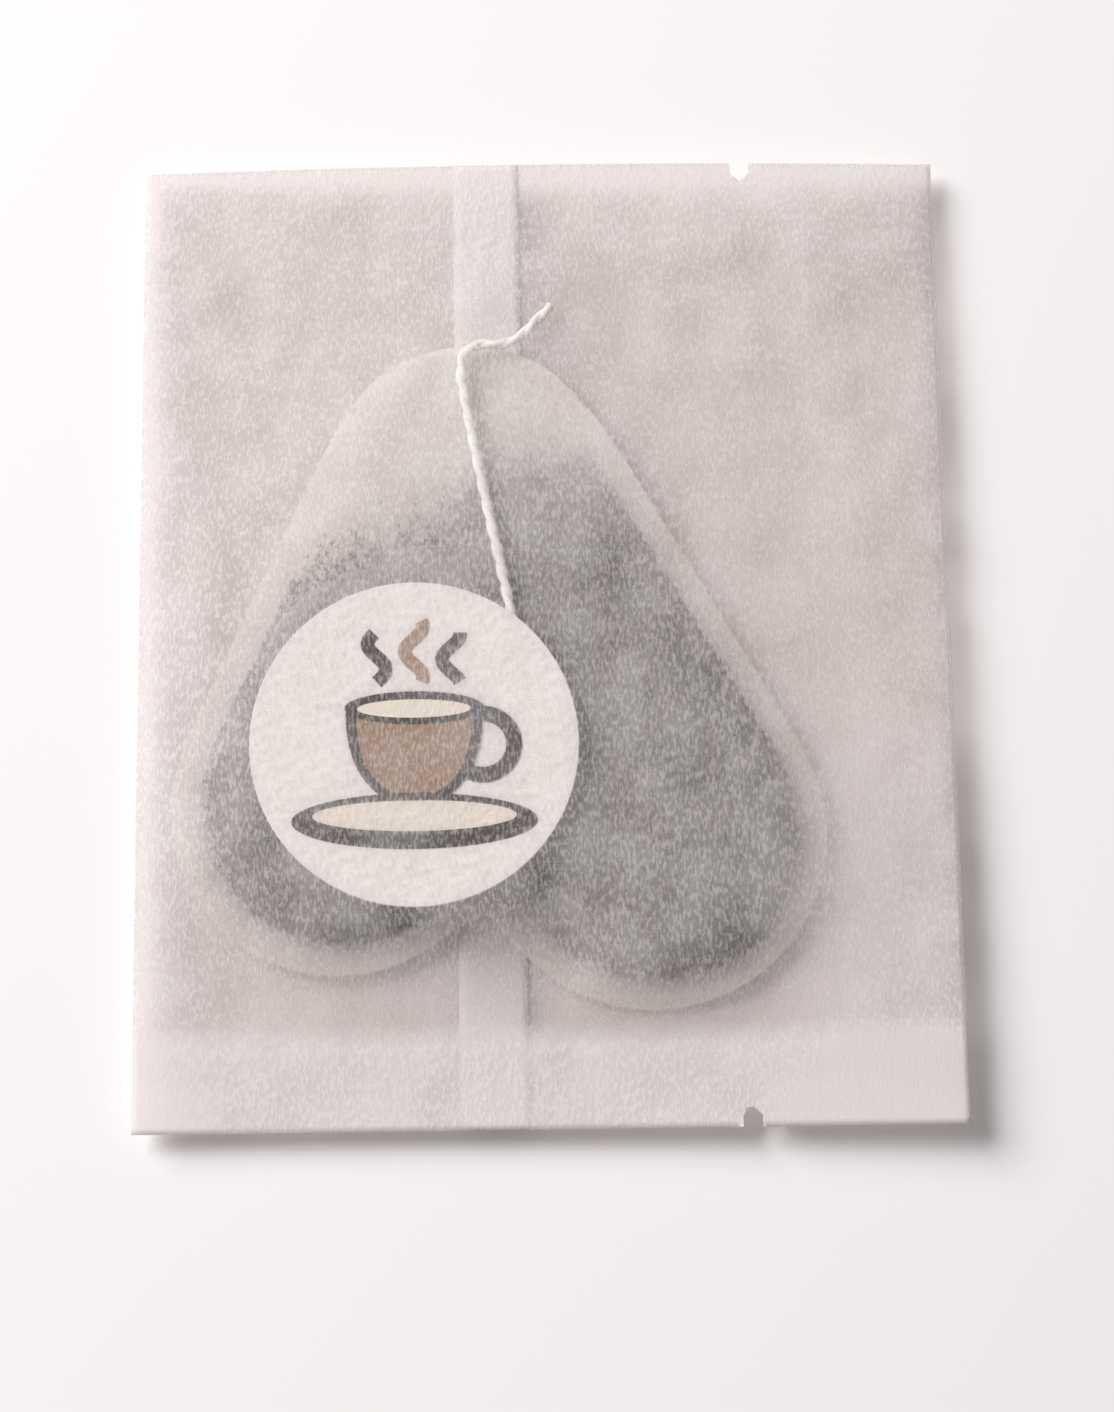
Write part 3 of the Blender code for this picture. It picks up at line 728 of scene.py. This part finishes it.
def directions(line):
    """The unit direction of a line at each of its points."""
    ahead = np.gradient(line, axis=0)
    return ahead / np.linalg.norm(ahead, axis=1)[:, None]


def string_path():
    """Two flat turns behind the tag, then up over the pouch to the cut tail."""
    turns = []
    for turn in np.linspace(0, COIL_TURNS, COIL_POINTS):
        out = np.clip((turn - STEP_OUT_START) / STEP_OUT_RUN, 0, 1)
        radius = COIL_INNER_TURN + (COIL_OUTER_TURN - COIL_INNER_TURN) * out * out * (3 - 2 * out)
        angle = 2 * math.pi * turn
        x = COIL_CENTRE[0] + radius * math.cos(angle)
        turns.append((x, COIL_CENTRE[1] + radius * math.sin(angle), COIL_HEIGHT))
    return even_points(turns + STRING_ROUTE, STRING_RING_STEP)


def build_string():
    """Two plies laid together: a section with two lobes, turning as it goes along the path."""
    path = string_path()
    ahead = directions(path)
    side = np.cross(ahead, (0, 0, 1))
    side /= np.linalg.norm(side, axis=1)[:, None]
    up = np.cross(side, ahead)
    run = run_along(path)
    around = np.linspace(0, 2 * math.pi, STRING_SIDES, endpoint=False)
    vertices = []
    for point, s, u, at in zip(path, side, up, run):
        lobes = np.abs(np.cos(around - math.pi * at / STRING_TWIST))
        radius = STRING_DIAMETER / 2 * (1 - 2 * PLY_WAIST + 2 * PLY_WAIST * lobes)
        vertices += list(point + np.outer(radius * np.cos(around), s) + np.outer(radius * np.sin(around), u))
    faces = []
    for ring in range(len(path) - 1):
        first = ring * STRING_SIDES
        for k in range(STRING_SIDES):
            after = (k + 1) % STRING_SIDES
            faces.append((first + k, first + STRING_SIDES + k, first + STRING_SIDES + after, first + after))
    last = (len(path) - 1) * STRING_SIDES
    faces += [tuple(range(STRING_SIDES)), tuple(last + k for k in reversed(range(STRING_SIDES)))]
    piece = add_piece("string_cord", vertices, faces, mottled_material("cotton", **COTTON))
    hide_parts("string", "string_coil")


# The tag and its print

def build_tag():
    """A card disc with a rounded edge."""
    low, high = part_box("tag")
    radius = (high.x - low.x) / 2
    mesh = bmesh.new()
    bmesh.ops.create_cone(
        mesh, cap_ends=True, segments=TAG_SEGMENTS, radius1=radius, radius2=radius, depth=high.z - low.z
    )
    rims = [e for e in mesh.edges if abs(e.verts[0].co.z - e.verts[1].co.z) < LEVEL_TOLERANCE]
    bmesh.ops.bevel(
        mesh, geom=rims, offset=TAG_EDGE_ROUND, segments=TAG_EDGE_STEPS, profile=0.5, affect="EDGES"
    )
    bmesh.ops.translate(mesh, verts=mesh.verts, vec=(low + high) / 2)
    tag = link_piece("tag_disc", written_mesh("tag_disc", mesh), mottled_material("card", **CARD))
    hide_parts("tag")


def plate(name, outline, level, material):
    """A thin printed patch on the tag; a higher level lies over a lower one."""
    low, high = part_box("tag")
    cx, cy = (low.x + high.x) / 2, (low.y + high.y) / 2
    base = high.z + PRINT_LIFT + level * 2 * PRINT_THICKNESS
    mesh = bmesh.new()
    ring = [mesh.verts.new((cx + x * MM, cy + y * MM, base)) for x, y in outline]
    face = mesh.faces.new(ring)
    raised = bmesh.ops.extrude_face_region(mesh, geom=[face])["geom"]
    lifted = [v for v in raised if isinstance(v, bmesh.types.BMVert)]
    bmesh.ops.translate(mesh, verts=lifted, vec=(0, 0, PRINT_THICKNESS))
    bmesh.ops.recalc_face_normals(mesh, faces=mesh.faces)
    link_piece(name, written_mesh(name, mesh), material)


def ribbon(line, width):
    """The outline of a ribbon of even width along a line of (x, y) points."""
    line = np.array(line)
    ahead = directions(line)
    side = np.column_stack([-ahead[:, 1], ahead[:, 0]]) * width / 2
    return [*(line + side).tolist(), *(line - side)[::-1].tolist()]


def cup_side(scale):
    """The side view of a round-bottomed cup, scaled about its middle."""
    right = []
    for drop in np.linspace(0, 1, CUP_POINTS):
        half = CUP_HALF_WIDTH * math.sqrt(1 - drop ** CUP_ROUNDNESS * CUP_TAPER)
        right.append((half, CUP_TOP - CUP_DEPTH * drop))
    outline = [*right, *[(-x, y) for x, y in reversed(right)]]
    return [(x * scale, (y - CUP_MIDDLE) * scale + CUP_MIDDLE) for x, y in outline]


def oval(cx, cy, rx, ry):
    turns = np.linspace(0, 2 * math.pi, OVAL_POINTS, endpoint=False)
    return [(cx + rx * math.cos(a), cy + ry * math.sin(a)) for a in turns]


def handle_line():
    arc = [math.radians(a) for a in HANDLE_SWEEP_DEG]
    cx, cy = HANDLE_CENTRE
    return [(cx + HANDLE_RADIUS * math.cos(a), cy + HANDLE_RADIUS * math.sin(a)) for a in arc]


def steam_line(k, x, top):
    heights = np.linspace(STEAM_FOOT, top, STEAM_POINTS)
    return [(x + STEAM_SWAY * math.sin((y - STEAM_FOOT) * STEAM_BENDS + k), y) for y in heights]


def build_print():
    dark = mottled_material("ink_dark", **DARK_INK)
    tan = mottled_material("ink_tan", **TAN_INK)
    cream = mottled_material("ink_cream", **CREAM_INK)
    plate("print_saucer", oval(*SAUCER), 0, dark)
    plate("print_saucer_top", oval(*SAUCER_TOP), 1, cream)
    plate("print_handle", ribbon(handle_line(), HANDLE_WIDTH), 1, dark)
    plate("print_cup_edge", cup_side(1.0), 2, dark)
    plate("print_cup", cup_side(CUP_FACE), 3, tan)
    plate("print_rim", oval(*CUP_RIM), 4, dark)
    plate("print_tea", oval(*CUP_TEA), 5, cream)
    for k, (x, top, ink) in enumerate(zip(STEAM_PLACES, STEAM_TOPS, (dark, tan, dark))):
        plate(f"print_steam_{k + 1}", ribbon(steam_line(k, x, top), STEAM_WIDTH), 0, ink)


# The stage

def build_camera():
    camera = linked("camera", bpy.data.cameras.new("camera"))
    camera.location = CAMERA_PLACE
    camera.rotation_euler = [math.radians(a) for a in CAMERA_TURN_DEG]
    camera.data.sensor_fit = "HORIZONTAL"
    camera.data.sensor_width = SENSOR_WIDTH_MM
    camera.data.lens = FOCAL_LENGTH_PX / IMAGE_WIDTH_PX * SENSOR_WIDTH_MM
    camera.data.clip_start = CAMERA_CLIP_START
    bpy.context.scene.camera = camera


def build_light():
    key = linked("key", bpy.data.lights.new("key", "AREA"))
    direction = Vector(KEY_DIRECTION).normalized()
    key.location = direction * KEY_DISTANCE
    key.rotation_euler = direction.to_track_quat("Z", "Y").to_euler()
    key.data.size = KEY_SIZE
    key.data.energy = KEY_POWER
    key.data.color = KEY_COLOUR

    world = bpy.data.worlds.new("surround")
    world.use_nodes = True
    feed(
        world.node_tree, world.node_tree.nodes["Background"],
        Color=(*SURROUND_COLOUR, 1.0), Strength=SURROUND_LEVEL,
    )
    bpy.context.scene.world = world


def build_floor():
    mesh = bmesh.new()
    bmesh.ops.create_grid(mesh, x_segments=1, y_segments=1, size=FLOOR_SIZE)
    bmesh.ops.translate(mesh, verts=mesh.verts, vec=(0, 0, -FLOOR_DROP))
    floor = linked("floor", written_mesh("floor", mesh))
    material, tree, principled, _ = new_material("floor")
    feed(tree, principled, Base_Color=FLOOR_COLOUR, Roughness=FLOOR_ROUGHNESS, Specular_IOR_Level=0.0)
    floor.data.materials.append(material)


def build_stage():
    scene = bpy.context.scene
    scene.view_settings.view_transform = "Standard"
    scene.cycles.transparent_max_bounces = CLEAR_BOUNCES
    build_camera()
    build_light()
    build_floor()


def main():
    build_stage()
    build_string()
    build_envelope()
    build_pouch()
    build_tea()
    build_tag()
    build_print()


main()
